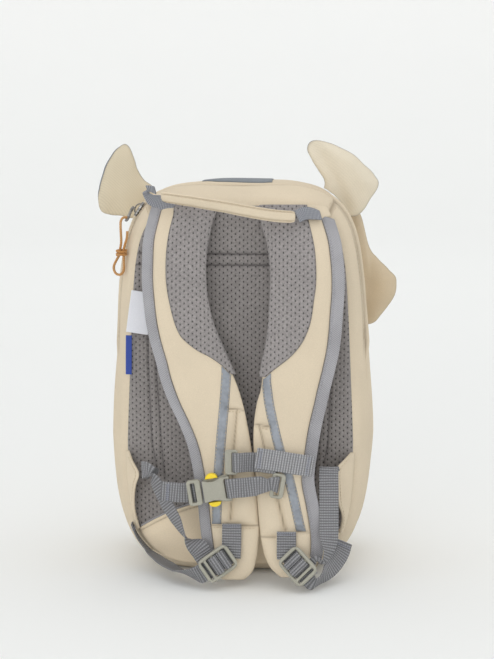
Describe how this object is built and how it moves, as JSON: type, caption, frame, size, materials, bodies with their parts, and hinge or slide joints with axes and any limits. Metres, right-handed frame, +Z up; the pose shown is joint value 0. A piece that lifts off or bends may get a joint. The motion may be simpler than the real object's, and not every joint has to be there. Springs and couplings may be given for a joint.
{
  "type": "child's plush animal backpack",
  "caption": "Small standing animal backpack with ears, hollow canvas body, perforated back panel, padded shoulder straps, chest strap buckle, adjusters, grab handle and zipper.",
  "frame": {"origin": "middle of the flat base, on the floor", "axes": "+Z up, -Y out of the back panel towards the wearer's side, +X to the right of someone who looks at the straps"},
  "size_m": [0.2481, 0.1956, 0.3419],
  "materials": {
    "beige": "plain woven canvas",
    "mesh": "perforated air mesh",
    "twill": "folded twill tape",
    "webbing": "ribbed webbing",
    "reflector": "satin reflective tape",
    "plastic": "fine matt",
    "yellow": "satin",
    "metal": "dark nickel",
    "cord": "braided",
    "label_white": "woven satin",
    "label_blue": "woven",
    "grey_cloth": "plain woven",
    "tape": "zipper tape"
  },
  "bodies": {
    "root": {"adjuster_left": "webbing", "adjuster_right": "webbing", "back_panel": "mesh", "buckle_body": "plastic", "buckle_plug": "plastic", "buckle_tab_bottom": "yellow", "buckle_tab_top": "yellow", "cord_knot": "cord", "crown_patch": "grey_cloth", "ear_left": "beige", "ear_left_lining": "grey_cloth", "ear_right": "beige", "ear_right_lining": "grey_cloth", "front_shell": "beige", "handle": "beige", "handle_tab_left": "webbing", "handle_tab_right": "webbing", "label_blue": "label_blue", "label_white": "label_white", "ladder_lock_left": "plastic", "ladder_lock_right": "plastic", "lower_panel": "beige", "pull_cord": "cord", "rear_gusset": "beige", "side_lobe": "beige", "sternum_flap": "webbing", "sternum_lower": "webbing", "sternum_slider_left": "plastic", "sternum_slider_right": "plastic", "sternum_tail": "webbing", "sternum_upper": "webbing", "strap_left_binding": "twill", "strap_left_mesh": "mesh", "strap_left_pad": "beige", "strap_left_reflector": "reflector", "strap_left_tab": "webbing", "strap_right_binding": "twill", "strap_right_mesh": "mesh", "strap_right_pad": "beige", "strap_right_reflector": "reflector", "strap_right_tab": "webbing", "wing_left": "beige", "wing_right": "beige", "zipper_pull": "metal", "zipper_slider": "metal", "zipper_tape": "tape", "zipper_teeth": "metal"}
  },
  "joints": []
}
